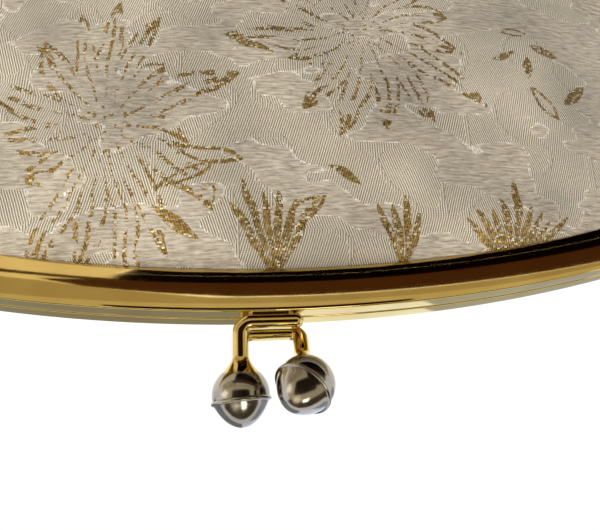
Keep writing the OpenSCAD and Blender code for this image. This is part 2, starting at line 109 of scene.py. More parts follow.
def new_material(name):
    """An empty material with its tree and its surface shader."""
    material = bpy.data.materials.new(name)
    material.use_nodes = True
    tree = material.node_tree
    return material, tree, tree.nodes["Principled BSDF"]


bpy.context.scene.view_settings.view_transform = "Standard"
world = bpy.data.worlds.new("studio")
bpy.context.scene.world = world
world.use_nodes = True
world.node_tree.nodes["Background"].inputs["Color"].default_value = linear("#ffffff")
world.node_tree.nodes["Background"].inputs["Strength"].default_value = 1.1

bpy.ops.object.select_all(action="DESELECT")
bpy.ops.mesh.primitive_plane_add(size=12, location=(0, 0, 0))
floor = bpy.context.object
floor.name = "floor"
floor_paint, tree, shader = new_material("matt_white_table")
shader.inputs["Base Color"].default_value = linear("#f8f7f5")
shader.inputs["Roughness"].default_value = 0.9
floor.data.materials.append(floor_paint)
floor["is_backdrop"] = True


def calculate(tree, operation, *inputs):
    """Adds a node that does one sum."""
    return add(tree, "Math", *inputs, operation=operation)


def card(name, corners, colour, glow):
    """A card held up out of the view, by its corners in millimetres. Only reflections show it."""
    mesh = bpy.data.meshes.new(name)
    mesh.from_pydata([[c * MM for c in p] for p in corners], [], [list(range(len(corners)))])
    made = bpy.data.objects.new(name, mesh)
    bpy.context.scene.collection.objects.link(made)
    material, tree, shader = new_material(name)
    shader.inputs["Base Color"].default_value = linear("#000000")
    shader.inputs["Specular IOR Level"].default_value = 0
    shader.inputs["Emission Color"].default_value = linear(colour)
    shader.inputs["Emission Strength"].default_value = glow
    mesh.materials.append(material)
    made.visible_camera = False
    made.visible_diffuse = False
    made.visible_shadow = False
    made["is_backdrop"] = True


def upright(y, outline):
    """Corners of a card that stands across the view, from its outline in X and Z."""
    return [(x, y, z) for x, z in outline]


def lying(z, outline):
    """Corners of a card that lies level, from its outline in X and Y."""
    return [(x, y, z) for x, y in outline]


def leaning(left, right, low, high):
    """Corners of a card that leans, from its sides in X and its low and high edges in Y and Z."""
    return [(left, *low), (right, *low), (right, *high), (left, *high)]


BEHIND = ((260, 110), (200, 420))
card("black_card_low", upright(-100, [(-420, 41), (48, 41), (56, 37), (60, 28), (60, 1), (-420, 1)]),
     "#070200", 1)
card("black_card_flat", lying(0.6, [(-420, -100), (60, -100), (41, -50), (33, -34), (-420, -34)]),
     "#070200", 1)
card("brown_card", upright(-101, [(-420, 92), (10, 89), (46, 77), (66, 70), (84, 54), (60, 36), (-420, 36)]),
     "#4a2c18", 1)
card("dark_strip", upright(-100.5, [(50, 43), (110, 44), (300, 30), (300, 6), (110, 29), (50, 33)]),
     "#4c3a26", 1)
card("pale_card_flat", lying(0.6, [(62, -420), (62, -100), (43, -50), (35, -34), (460, -34), (460, -420)]),
     "#f4e6c8", 1)
card("tan_card_front", upright(-112, [(-450, 88), (20, 88), (90, 54), (450, 30), (450, 106), (-450, 106)]),
     "#b5a582", 1)
card("cream_card_front", upright(-112, [(-450, 106), (450, 106), (450, 420), (-450, 420)]), "#d0c4a2", 1)
card("dark_ceiling", lying(420, [(-450, -112), (450, -112), (450, 70), (-450, 70)]), "#544837", 1)
card("dark_camera_shade", leaning(-52, 54, (-84, 132), (-60, 186)), "#26130f", 1)
card("small_window", leaning(-70, -10, (-90, 300), (-60, 345)), "#fff6ea", 5)
card("grey_card_behind_left", leaning(10, 500, *BEHIND), "#cdd3dc", 0.5)
card("white_card_behind", leaning(-140, 10, *BEHIND), "#d6e0f2", 1.7)
card("grey_card_behind_right", leaning(-500, -140, *BEHIND), "#c9d3e4", 0.8)


def lamp(name, spot, aim, size, power, colour):
    """A soft square lamp at a place in millimetres, turned to face another."""
    data = bpy.data.lights.new(name, "AREA")
    data.size = size * MM
    data.energy = power
    data.color = linear(colour)[:3]
    made = bpy.data.objects.new(name, data)
    bpy.context.scene.collection.objects.link(made)
    made.location = Vector(spot) * MM
    made.rotation_euler = (Vector(aim) - Vector(spot)).to_track_quat("-Z", "Y").to_euler()


lamp("key_lamp", (120, -150, 420), (0, -5, 100), 110, 0.6, "#fff2dc")
lamp("side_lamp", (420, -200, 160), (0, 0, 90), 90, 0.7, "#fffaf0")


# Frame halves: sheet brass rolled to a channel, bent to an arch, with the leg's web left on as an
# ear for the rivet. Polished and gold plated, so it is a curved mirror with fine wipe scratches.
FRAME_W, FRAME_TOP, HINGE_Z = 208, 128, 68
HALF_W = FRAME_W / 2
TOP_R, CORNER_R = 246, 38
CORNER_X = HALF_W - CORNER_R
TOP_C = FRAME_TOP - TOP_R
MEET = math.asin(CORNER_X / (TOP_R - CORNER_R))
CORNER_Z = TOP_C + (TOP_R - CORNER_R) * math.cos(MEET)
FACE_H, FACE_Y, CROWN_R, CROWN_AT = 7.05, 2.9, 14, 3
EDGE_START = 157
SHEET, EDGE_R, HALF_GAP, FLANGE_H = 0.5, 0.4, 0.05, 6.4
EAR_R, RIVET_R, LEG_END, EAR_SET = 3.2, 1.05, 71.65, 0.6


def face_y(depth):
    """How far the crowned face stands from the parting plane, at a depth in from the top."""
    return -FACE_Y + (depth - CROWN_AT) ** 2 / (2 * CROWN_R)


def edge_curve(middle, first, last, steps=8):
    """The rounded edge between the face, or the gap side, and the top."""
    angles = [math.radians(first + (last - first) * i / steps) for i in range(steps + 1)]
    return [(EDGE_R - EDGE_R * math.sin(a), middle + EDGE_R * math.cos(a)) for a in angles]


def channel():
    """The channel's section as (depth, Y), once round."""
    steps = 20
    face = [FACE_H + (EDGE_R - FACE_H) * i / steps for i in range(steps)]
    back = [SHEET + (FACE_H - SHEET) * i / steps for i in range(steps + 1)]
    return ([(d, face_y(d)) for d in face]
            + edge_curve(face_y(EDGE_R) + EDGE_R, EDGE_START, 90) + edge_curve(-HALF_GAP - EDGE_R, 90, 0)
            + [(FLANGE_H, -HALF_GAP), (FLANGE_H, -HALF_GAP - SHEET), (SHEET, -HALF_GAP - SHEET)]
            + [(d, face_y(d) + SHEET) for d in back])


def arch(low):
    """Stations along the outline, from one leg's end to the other: x, z and the way inwards."""
    made = [(HALF_W, low, -1, 0)]
    for middle_x, middle_z, radius, first, last, steps in (
            (CORNER_X, CORNER_Z, CORNER_R, 0, math.pi / 2 - MEET, 40),
            (0, TOP_C, TOP_R, math.pi / 2 - MEET, math.pi / 2 + MEET, 120),
            (-CORNER_X, CORNER_Z, CORNER_R, math.pi / 2 + MEET, math.pi, 40)):
        for i in range(steps + 1):
            a = first + (last - first) * i / steps
            spot = (middle_x + radius * math.cos(a), middle_z + radius * math.sin(a),
                    -math.cos(a), -math.sin(a))
            if math.hypot(spot[0] - made[-1][0], spot[1] - made[-1][1]) > 0.01:
                made.append(spot)
    made.append((-HALF_W, low, 1, 0))
    return made


def new_piece(name, points, faces, body, material, side=1, corners=None):
    """A piece from points in millimetres. side -1 turns a front piece round into the rear one."""
    mesh = bpy.data.meshes.new(name)
    mesh.from_pydata([(x * MM, y * side * MM, z * MM) for x, y, z in points], [], faces)
    if corners:
        layer = mesh.uv_layers.new(name="cloth")
        for loop in mesh.loops:
            layer.data[loop.index].uv = corners[loop.vertex_index]
    mesh.materials.append(material)
    made = bpy.data.objects.new(name, mesh)
    bpy.context.scene.collection.objects.link(made)
    bpy.ops.object.select_all(action="DESELECT")
    made.select_set(True)
    bpy.context.view_layer.objects.active = made
    bpy.ops.object.mode_set(mode="EDIT")
    bpy.ops.mesh.select_all(action="SELECT")
    bpy.ops.mesh.normals_make_consistent(inside=False)
    bpy.ops.object.mode_set(mode="OBJECT")
    bpy.ops.object.shade_smooth_by_angle(angle=math.radians(35))
    if body:
        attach(made, body)
    return made


def swept(section, low):
    """Points and faces of a section carried along the arch, closed at both ends."""
    path = arch(low)
    count = len(section)
    points = [(x + in_x * d, y, z + in_z * d) for x, z, in_x, in_z in path for d, y in section]
    faces = []
    for start in range(0, (len(path) - 1) * count, count):
        for k in range(count):
            after = (k + 1) % count
            faces.append((start + k, start + after, start + count + after, start + count + k))
    faces += [tuple(range(count)), tuple((len(path) - 1) * count + k for k in reversed(range(count)))]
    return points, faces


def ear(x_outer, x_inner, joggle):
    """Points and faces of one ear: a disc round the rivet's hole with its neck up to the leg."""
    neck = (face_y(EDGE_R) + EDGE_R, -HALF_GAP - EDGE_R)
    top = LEG_END + (0 if joggle else SHEET) - HINGE_Z
    count = 96
    points, faces = [], []
    for x in (x_outer, x_inner):
        for radius in (RIVET_R, EAR_R):
            for i in range(count):
                a = 2 * math.pi * i / count
                y, z = math.cos(a), math.sin(a)
                reach = radius
                if radius == EAR_R and z > 0.5 and y < 0:
                    limit = min(top / z, neck[0] / y)
                    if limit > EAR_R and limit * y < neck[1]:
                        reach = limit
                points.append((x, y * reach, HINGE_Z + z * reach))
    for i in range(count):
        j = (i + 1) % count
        for a, b in ((0, 1), (1, 3), (3, 2), (2, 0)):
            faces.append((a * count + i, a * count + j, b * count + j, b * count + i))
    return points, faces


gold_plate, tree, shader = new_material("gold_plated_brass_polished")
# Polished plate: a clean yellow mirror, faintly softened where it has been wiped.
place = add(tree, "TexCoord").outputs["Object"]
stretch = add(tree, "Mapping", place, (0, 0, 0), (0, 0, 0.3), (400, 400, 6000))
wipes = add(tree, "TexNoise", stretch, 1.0, 3.0, 0.6)
blotch = add(tree, "TexNoise", place, 90.0, 2.0)
tone = add(tree, "MapRange", blotch, 0.35, 0.7, 0.0, 1.0)
tint = add(tree, "Mix", tone, linear("#e1c882"), linear("#d2b673"), data_type="RGBA")
tree.links.new(result(tint), shader.inputs["Base Color"])
rough = add(tree, "MapRange", wipes, 0.3, 0.75, 0.05, 0.12)
tree.links.new(rough.outputs[0], shader.inputs["Roughness"])
shader.inputs["Metallic"].default_value = 1

for name, side, inset in (("front_frame", 1, 0), ("rear_frame", -1, EAR_SET)):
    points, faces = swept(channel(), LEG_END)
    for end in (1, -1):
        outer = end * (HALF_W - inset)
        more_points, more_faces = ear(outer, outer - end * SHEET, inset > 0)
        faces += [tuple(i + len(points) for i in face) for face in more_faces]
        points += more_points
    if inset:
        for end in (1, -1):
            xs = sorted((end * (HALF_W - 0.02), end * (HALF_W - inset - SHEET)))
            block = [(x, y, z) for x in xs for y in (face_y(EDGE_R) + EDGE_R, -HALF_GAP - EDGE_R)
                     for z in (LEG_END - SHEET, LEG_END)]
            box = [(0, 1, 3, 2), (4, 6, 7, 5), (0, 4, 5, 1), (2, 3, 7, 6), (0, 2, 6, 4), (1, 5, 7, 3)]
            faces += [tuple(i + len(points) for i in face) for face in box]
            points += block
    piece = new_piece(name + "_channel", points, faces, name.replace("frame", "half"),
                      gold_plate, side)
    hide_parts(name)

# Hinge rivets: brass pins through both ears, domed outside and hammered flat inside. They stay
# as made in the frame model and take the frame's plating.
for name in ("left_hinge_rivet", "right_hinge_rivet"):
    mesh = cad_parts[name].data
    mesh.materials.clear()
    mesh.materials.append(gold_plate)


# Clasp stems: each a round rod bent up at one end, lying along the frame's top on a brazed foot,
# with a neck that flares out to hold the bead. Gold plated with the frame.
ROD_R, POST_X, ROD_TAIL, BEND_R = 1.18, 4.43, 3.6, 1.7
BEAD_Z, BEAD_OVER, BEAD_R = 10.84, 1.88, 4.08
NECK_R, NECK_H, NECK_POW, FOOT_L, FOOT_W = 2.7, 1.5, 1.9, 6, 1.6
# Each clasp: how far its rod lies from the parting plane and above the frame, its bead's tilt in
# degrees about X and Y, and which way round it stands.
CLASPS = {"front": (1.45, 1.2, (8, -5), 1), "rear": (1.7, 1.7, (-4, -33), -1)}


def clasp_axes(rod_y, rod_z, turn):
    """Places a clasp's own axes: X along the rod, Z up the leaning post."""
    lean = math.atan2(rod_y + BEAD_OVER, BEAD_Z - rod_z)
    about = Matrix.Rotation(0 if turn > 0 else math.pi, 4, "Z")
    return about @ Matrix.Translation((0, -rod_y, FRAME_TOP + rod_z)) @ Matrix.Rotation(-lean, 4, "X")


def reach_of(rod_y, rod_z):
    """Length of the post, from the rod's middle line to the bead's middle."""
    return math.hypot(rod_y + BEAD_OVER, BEAD_Z - rod_z)


def rod_path(reach):
    """Middle line and radius of the rod: round free end, bend, post, flared neck."""
    made = []
    for i in range(9):
        a = math.pi / 2 * i / 8
        made.append((-ROD_TAIL - ROD_R * math.cos(a), 0, max(0.02, ROD_R * math.sin(a))))
    bend_x = POST_X - BEND_R
    made += [(-ROD_TAIL + (bend_x + ROD_TAIL) * i / 6, 0, ROD_R) for i in range(1, 7)]
    for i in range(1, 15):
        a = math.pi / 2 * i / 14
        made.append((bend_x + BEND_R * math.sin(a), BEND_R - BEND_R * math.cos(a), ROD_R))
    neck_top = reach - math.sqrt(BEAD_R ** 2 - NECK_R ** 2)
    neck_low = reach - BEAD_R - NECK_H
    made += [(POST_X, BEND_R + (neck_low - BEND_R) * i / 5, ROD_R) for i in range(1, 6)]
    for i in range(1, 13):
        t = i / 12
        made.append((POST_X, neck_low + (neck_top - neck_low) * t, ROD_R + (NECK_R - ROD_R) * t ** NECK_POW))
    made.append((POST_X, neck_top + 0.25, NECK_R - 0.25))
    return made


def rod(path):
    """A round rod along a path in its own X and Z, closed at both ends."""
    count = 40
    points, faces = [], []
    for k, (x, z, radius) in enumerate(path):
        before, after = path[max(0, k - 1)], path[min(len(path) - 1, k + 1)]
        along = Vector((after[0] - before[0], 0, after[1] - before[1])).normalized()
        across = Vector((-along.z, 0, along.x))
        for i in range(count):
            a = 2 * math.pi * i / count
            around = math.cos(a) * across + math.sin(a) * Vector((0, 1, 0))
            points.append(Vector((x, 0, z)) + radius * around)
    for k in range(len(path) - 1):
        for i in range(count):
            j = (i + 1) % count
            faces.append((k * count + i, k * count + j, (k + 1) * count + j, (k + 1) * count + i))
    faces += [tuple(range(count)), tuple(len(points) - 1 - i for i in range(count))]
    return points, faces


for name, (rod_y, rod_z, tilt, turn) in CLASPS.items():
    axes = clasp_axes(rod_y, rod_z, turn)
    points, faces = rod(rod_path(reach_of(rod_y, rod_z)))
    points = [tuple(axes @ p) for p in points]
    foot = []
    for z, grow in ((FRAME_TOP - 0.02, 0.25), (FRAME_TOP + 0.25, 0.05), (FRAME_TOP + rod_z, 0)):
        corner = 0.5
        for cx, cy, first in ((1, 1, 0), (-1, 1, 90), (-1, -1, 180), (1, -1, 270)):
            for i in range(5):
                a = math.radians(first + 90 * i / 4)
                foot.append((cx * (FOOT_L / 2 + grow - corner) + corner * math.cos(a),
                             cy * (FOOT_W / 2 + grow - corner) + corner * math.sin(a) - rod_y, z))
    foot = [(x * turn, y * turn, z) for x, y, z in foot]
    start, ring = len(points), 20
    for level in range(2):
        for i in range(ring):
            a, b = start + level * ring + i, start + level * ring + (i + 1) % ring
            faces.append((a, b, b + ring, a + ring))
    faces.append(tuple(start + i for i in reversed(range(ring))))
    faces.append(tuple(start + 2 * ring + i for i in range(ring)))
    points += foot
    piece = new_piece(name + "_clasp_rod", points, faces, name + "_half", gold_plate)
    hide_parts(name + "_clasp_stem")


# Beads: each pressed from thin brass in two shells, the outer one rolled over a ring at the seam.
# Nickel plated and a little smoky, with a shine softer than the gold.
RING_AT, RING_D, RING_R, DOME_H, DOME_POW, BEAD_WALL = 0.9, 0.64, 3.96, 3.55, 1.2, 0.4
nickel, tree, shader = new_material("nickel_plated_smoky")
place = add(tree, "TexCoord").outputs["Object"]
cloud = add(tree, "TexNoise", place, 300.0, 3.0, 0.55)
tint = add(tree, "Mix", add(tree, "MapRange", cloud, 0.35, 0.65), linear("#958f86"), linear("#aca69d"),
           data_type="RGBA")
tree.links.new(result(tint), shader.inputs["Base Color"])
rough = add(tree, "MapRange", cloud, 0.3, 0.7, 0.1, 0.2)
tree.links.new(rough.outputs[0], shader.inputs["Roughness"])
shader.inputs["Metallic"].default_value = 1


def turned(profile, place_at):
    """A profile of (radius, height) turned about Z, both its ends on the axis."""
    count = 96
    points = [tuple(place_at @ Vector((0, 0, profile[0][1])))]
    for radius, height in profile[1:-1]:
        points += [tuple(place_at @ Vector((radius * math.cos(2 * math.pi * i / count),
                                            radius * math.sin(2 * math.pi * i / count), height)))
                   for i in range(count)]
    points.append(tuple(place_at @ Vector((0, 0, profile[-1][1]))))
    rings, last = len(profile) - 2, len(points) - 1
    faces = [(0, 1 + (i + 1) % count, 1 + i) for i in range(count)]
    for k in range(rings - 1):
        a = 1 + k * count
        faces += [(a + i, a + (i + 1) % count, a + count + (i + 1) % count, a + count + i)
                  for i in range(count)]
    a = 1 + (rings - 1) * count
    faces += [(last, a + i, a + (i + 1) % count) for i in range(count)]
    return points, faces


def dome(radius, height, steps=28):
    """The outer shell's rounded curve, from its rim to its tip."""
    made = []
    for i in range(steps + 1):
        s = math.sin(math.pi / 2 * i / steps)
        made.append((radius * (1 - s ** DOME_POW) ** 0.5, RING_AT + height * s))
    return made


for name, (rod_y, rod_z, tilt, turn) in CLASPS.items():
    seat = (clasp_axes(rod_y, rod_z, turn) @ Matrix.Translation((POST_X, 0, reach_of(rod_y, rod_z)))
            @ Euler((math.radians(tilt[0]), math.radians(tilt[1]), 0)).to_matrix().to_4x4())
    rim = RING_AT - RING_D / 2
    half = []
    for radius in (BEAD_R, BEAD_R - BEAD_WALL):
        last = math.asin(rim / radius)
        part = [(radius * math.cos(-math.pi / 2 + (last + math.pi / 2) * i / 32),
                 radius * math.sin(-math.pi / 2 + (last + math.pi / 2) * i / 32)) for i in range(33)]
        half += part if radius == BEAD_R else part[::-1]
    points, faces = turned(half, seat)
    piece = new_piece(name + "_bead_inner", points, faces, name + "_half", nickel)
    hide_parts(name + "_clasp_inner_shell")
    angles = [math.radians(a) for a in range(100, -111, -15)]
    ring = [(RING_R + RING_D / 2 * math.cos(a), RING_AT + RING_D / 2 * math.sin(a)) for a in angles]
    cap = [p for p in dome(RING_R, DOME_H) if p[1] > RING_AT + 0.45]
    inner = [p for p in dome(RING_R - BEAD_WALL, DOME_H - BEAD_WALL) if p[1] > RING_AT + 0.1]
    points, faces = turned(cap[::-1] + ring + inner, seat)
    piece = new_piece(name + "_bead_outer", points, faces, name + "_half", nickel)
    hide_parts(name + "_clasp_outer_shell")


# Packing cords: twisted paper cord pressed into each channel over the cloth's edge, so that the
# cloth can't pull out. Brown kraft paper, seen only when the purse is open.
CORD_R, CORD_SKIN, CORD_PAST, CORD_AT = 0.72, 0.01, 0.3, (1.2235, -1.4186)
kraft, tree, shader = new_material("twisted_kraft_paper")
place = add(tree, "TexCoord").outputs["Object"]
twist = add(tree, "TexWave", place, 700.0, 1.5, 2.0, wave_type="BANDS", bands_direction="DIAGONAL")
tint = add(tree, "Mix", twist.outputs["Fac"], linear("#a88455"), linear("#c3a273"), data_type="RGBA")
tree.links.new(result(tint), shader.inputs["Base Color"])
shader.inputs["Roughness"].default_value = 0.85
bump = add(tree, "Bump", 0.5, 0.0002, None, twist.outputs["Fac"])
tree.links.new(bump.outputs[0], shader.inputs["Normal"])
for name, side in (("front", 1), ("rear", -1)):
    section = [(CORD_AT[0] + (CORD_R - CORD_SKIN) * math.cos(-math.pi / 6 * (i + 0.5)),
                CORD_AT[1] + (CORD_R - CORD_SKIN) * math.sin(-math.pi / 6 * (i + 0.5))) for i in range(12)]
    points, faces = swept(section, LEG_END + SHEET + CORD_PAST)
    piece = new_piece(name + "_paper_cord", points, faces, name + "_half", kraft, side)
    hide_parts(name + "_packing_cord")


# Brocade: silk-like ribbed ground with satin areas woven in, and flowers drawn in a flat gold thread
# that shows as dashes at their middles and as solid strokes at the petals' tips. Pattern sizes are
# in millimetres of cloth: across, and down from the frame's edge.
RIB_PITCH, PICK_PITCH, DRAW_STEP = 0.4, 0.28, (0.16, 0.14, 1.0)
TILE_TOP, TILE_LOW = (60, 72, 1), (-50, -8, 0)
brocade, tree, shader = new_material("brocade_with_gold_thread")
metres = add(tree, "UVMap", uv_map="cloth")
field = add(tree, "VectorMath", metres, 1000.0, operation="SCALE")
spots = add(tree, "SeparateXYZ", field)
across, down = spots.outputs["X"], spots.outputs["Y"]
wander = add(tree, "TexNoise", field, 0.11, 1.0)
wander = add(tree, "VectorMath", wander.outputs["Color"], (0.5, 0.5, 0.5), operation="SUBTRACT")
wander = add(tree, "VectorMath", wander, (3.0, 3.0, 0.0), operation="MULTIPLY")
drawn = add(tree, "VectorMath", field, wander, operation="ADD")
drawn = add(tree, "VectorMath", drawn, TILE_TOP, TILE_LOW, operation="WRAP")
drawn = add(tree, "VectorMath", drawn, DRAW_STEP, operation="SNAP")


def flower(tree, drawn, middle, tall, petals, heart, reach, plump, seed):
    """Gold lines of an open many-petalled flower, 1 on a line, and the dots of its middle."""
    out = add(tree, "VectorMath", drawn, (middle[0], middle[1], 0.0), operation="SUBTRACT")
    out = add(tree, "VectorMath", out, (1.0, 1 / tall, 0.0), operation="MULTIPLY")
    far = add(tree, "VectorMath", out, operation="LENGTH")
    parts = add(tree, "SeparateXYZ", out)
    angle = add(tree, "Math", parts.outputs["Y"], parts.outputs["X"], operation="ARCTAN2")
    curl = calculate(tree, "MULTIPLY_ADD", far, 0.012, angle)
    sector = add(tree, "Math", curl, petals / (2 * math.pi), petals + 0.3, operation="MULTIPLY_ADD")
    index = calculate(tree, "FLOOR", sector)
    chance = calculate(tree, "ADD", index, seed)
    chance = add(tree, "TexWhiteNoise", chance, noise_dimensions="1D")
    chance = chance.outputs["Value"]
    length = calculate(tree, "MULTIPLY_ADD", chance, reach * 0.45, reach * 0.55)
    run = calculate(tree, "SUBTRACT", length, heart)
    gone = calculate(tree, "SUBTRACT", far, heart)
    t = calculate(tree, "DIVIDE", gone, run)
    t_in = add(tree, "Clamp", t, 0.0, 1.0)
    local = calculate(tree, "SUBTRACT", sector, index)
    local = calculate(tree, "SUBTRACT", local, 0.5)
    bow = add(tree, "Math", calculate(tree, "SUBTRACT", chance, 0.5), t_in, operation="MULTIPLY")
    local = calculate(tree, "MULTIPLY_ADD", bow, -0.5, local)
    side = add(tree, "Math", calculate(tree, "MULTIPLY", local, far), 2 * math.pi / petals,
               operation="MULTIPLY")
    left = calculate(tree, "SUBTRACT", 1.0, t_in)
    belly = calculate(tree, "MULTIPLY_ADD", t_in, 2.1, 0.34)
    half = calculate(tree, "MULTIPLY", left, belly)
    half = calculate(tree, "MULTIPLY", half, plump)
    half = calculate(tree, "ADD", half, 0.12)
    share = calculate(tree, "DIVIDE", side, half)
    between = calculate(tree, "PINGPONG", share, 0.5)
    gap = calculate(tree, "MULTIPLY", between, half)
    width = add(tree, "MapRange", t, 0.15, 0.85, 0.17, 0.44)
    line = calculate(tree, "LESS_THAN", gap, width)
    within = add(tree, "Math", calculate(tree, "ABSOLUTE", share), 1.2, operation="LESS_THAN")
    after = calculate(tree, "GREATER_THAN", t, -0.04)
    before = calculate(tree, "LESS_THAN", t, 1.0)
    broken = add(tree, "TexNoise", drawn, 0.3, 1.0)
    missing = add(tree, "MapRange", t, 0.0, 0.7, 0.3, 0.47)
    kept = calculate(tree, "GREATER_THAN", broken, missing)
    shown = line
    for part in (within, after, before, kept):
        shown = calculate(tree, "MULTIPLY", shown, part)
    solid = add(tree, "MapRange", t, 0.1, 0.8, 0.62, 1.0)
    shown = calculate(tree, "MULTIPLY", shown, solid)
    dots = add(tree, "TexVoronoi", drawn, 0.9, feature="F1")
    dots = calculate(tree, "LESS_THAN", dots.outputs["Distance"], 0.3)
    inside = calculate(tree, "LESS_THAN", far, heart)
    heart_dots = add(tree, "Math", calculate(tree, "MULTIPLY", dots, inside), 0.8,
                     operation="MULTIPLY")
    return calculate(tree, "MAXIMUM", heart_dots, shown)


def sprig(tree, drawn, base, strokes, spread, reach, seed):
    """Gold strokes that fan up from a point like blades of grass."""
    out = add(tree, "VectorMath", drawn, (base[0], base[1], 0.0), operation="SUBTRACT")
    far = add(tree, "VectorMath", out, operation="LENGTH")
    parts = add(tree, "SeparateXYZ", out)
    angle = add(tree, "Math", parts.outputs["X"], parts.outputs["Y"], operation="ARCTAN2")
    sector = calculate(tree, "MULTIPLY_ADD", angle, strokes / spread, strokes / 2)
    index = calculate(tree, "FLOOR", sector)
    chance = calculate(tree, "ADD", index, seed)
    chance = add(tree, "TexWhiteNoise", chance, noise_dimensions="1D")
    length = calculate(tree, "MULTIPLY_ADD", chance.outputs["Value"], reach * 0.5, reach * 0.5)
    t = calculate(tree, "DIVIDE", far, length)
    local = calculate(tree, "SUBTRACT", sector, index)
    local = calculate(tree, "SUBTRACT", local, 0.5)
    side = add(tree, "Math", calculate(tree, "MULTIPLY", local, far), spread / strokes,
               operation="MULTIPLY")
    side = calculate(tree, "ABSOLUTE", side)
    t_in = add(tree, "Clamp", t, 0.0, 1.0)
    left = calculate(tree, "SUBTRACT", 1.0, t_in)
    swell = calculate(tree, "MULTIPLY", t_in, t_in)
    swell = calculate(tree, "MULTIPLY", swell, left)
    width = calculate(tree, "MULTIPLY_ADD", swell, 3.4, 0.16)
    shown = calculate(tree, "LESS_THAN", side, width)
    limit = calculate(tree, "ABSOLUTE", angle)
    limit = calculate(tree, "LESS_THAN", limit, spread / 2)
    for part in (limit, calculate(tree, "LESS_THAN", t, 1.0),
                 calculate(tree, "GREATER_THAN", far, 0.8)):
        shown = calculate(tree, "MULTIPLY", shown, part)
    return shown


def leaf(tree, drawn, middle, turn, length, width, hollow):
    """A gold leaf, pointed at both ends: filled, or drawn as an outline."""
    own = add(tree, "Mapping", drawn, (middle[0], middle[1], 0.0), (0.0, 0.0, math.radians(turn)),
              (length / 2, width / 2, 1.0), vector_type="TEXTURE")
    parts = add(tree, "SeparateXYZ", own)
    along = calculate(tree, "MULTIPLY", parts.outputs["X"], parts.outputs["X"])
    edge = calculate(tree, "SUBTRACT", 1.0, along)
    edge = add(tree, "Math", edge, calculate(tree, "ABSOLUTE", parts.outputs["Y"]),
               operation="SUBTRACT")
    shown = calculate(tree, "GREATER_THAN", edge, 0.0)
    if hollow:
        rim = calculate(tree, "LESS_THAN", edge, 0.42)
        shown = calculate(tree, "MULTIPLY", shown, rim)
    return shown


gold_drawn = flower(tree, drawn, (-25.2, 24.2), 1.45, 15, 3.4, 24, 2.3, 3.0)
gold_drawn = add(tree, "Math", gold_drawn, flower(tree, drawn, (17.3, 43.8), 1.15, 15, 3.9, 27, 2.6, 11.0),
                 operation="MAXIMUM")
for base, strokes, spread, reach, seed in (
        ((0.6, -1.0), 6, 1.2, 17, 5.0), ((20.8, 0.0), 4, 0.9, 14, 8.0), ((40.5, -1.0), 9, 1.7, 19, 21.0),
        ((-21.0, 57.0), 7, 1.9, 13, 31.0), ((-46.0, 57.0), 7, 2.6, 17, 41.0)):
    gold_drawn = add(tree, "Math", gold_drawn, sprig(tree, drawn, base, strokes, spread, reach, seed),
                     operation="MAXIMUM")
for middle, turn, length, width, hollow in (
        ((-9.2, 19.0), 165, 11, 3.0, True), ((-12.5, 15.5), 207, 10, 2.4, True),
        ((12.0, 15.6), 150, 6.5, 1.8, False), ((5.6, 9.5), 42, 8, 3.4, True),
        ((-14.0, 8.0), 145, 9, 2.0, False), ((-3.0, 40.0), 152, 10, 1.5, False),
        ((49.0, 30.5), 125, 8, 3.0, True), ((55.5, 33.0), 35, 6, 2.2, False),
        ((47.5, 38.0), 80, 5, 1.8, False), ((52.0, 42.5), 160, 6, 2.0, False),
        ((43.0, 40.5), 25, 5, 1.6, False), ((46.5, 46.0), 10, 6, 1.8, True),
        ((-6.0, 60.0), 40, 9, 2.6, True), ((0.5, 64.0), 130, 7, 2.2, False)):
    gold_drawn = add(tree, "Math", gold_drawn, leaf(tree, drawn, middle, turn, length, width, hollow),
                     operation="MAXIMUM")

# The gold only shows where its thread lies on top: cell by cell, some are bound down by the ground.
cell = add(tree, "VectorMath", field, (RIB_PITCH, PICK_PITCH, 1.0), operation="SNAP")
glint = add(tree, "TexWhiteNoise", cell, noise_dimensions="3D").outputs["Value"]
bound = calculate(tree, "MULTIPLY_ADD", glint, 0.92, 0.2)
gold_thread = calculate(tree, "GREATER_THAN", gold_drawn, bound)
sheen_run = add(tree, "TexWhiteNoise", add(tree, "VectorMath", cell, (7.3, 3.1, 0.0), operation="ADD"),
                noise_dimensions="3D").outputs["Value"]

zone_at = add(tree, "VectorMath", cell, (0.75, 1.25, 1.0), operation="MULTIPLY")
zone = add(tree, "TexNoise", zone_at, 0.075, 1.6, 0.55, 2.1, 0.0, 0.9)
satin_part = add(tree, "MapRange", zone, 0.5, 0.504, 0.0, 1.0)
ridge = add(tree, "Math", calculate(tree, "SUBTRACT", zone, 0.502), operation="ABSOLUTE")
ridge = add(tree, "MapRange", ridge, 0.001, 0.006, 1.0, 0.0)
ridge = add(tree, "Math", ridge, add(tree, "MapRange", sheen_run, 0.1, 0.8, 0.2, 1.0), operation="MULTIPLY")
lean_noise = add(tree, "TexNoise", cell, 0.09, 0.0)
lean = add(tree, "MapRange", lean_noise, 0.44, 0.56, -0.32, 0.32, interpolation_type="STEPPED")
lean.inputs["Steps"].default_value = 2
rib_at = calculate(tree, "MULTIPLY_ADD", lean, down, across)
rib = add(tree, "Math", calculate(tree, "MULTIPLY", rib_at, 2 * math.pi / RIB_PITCH),
          operation="SINE")
slub_at = add(tree, "VectorMath", field, (2.5, 0.3, 1.0), operation="MULTIPLY")
slub = add(tree, "TexNoise", slub_at, 1.0, 2.0, 0.6)
streak_at = add(tree, "VectorMath", field, (0.4, 2.6, 1.0), operation="MULTIPLY")
streak = add(tree, "TexNoise", streak_at, 1.0, 3.0, 0.65)
pick = add(tree, "Math", calculate(tree, "MULTIPLY", down, 2 * math.pi / PICK_PITCH),
           operation="SINE")
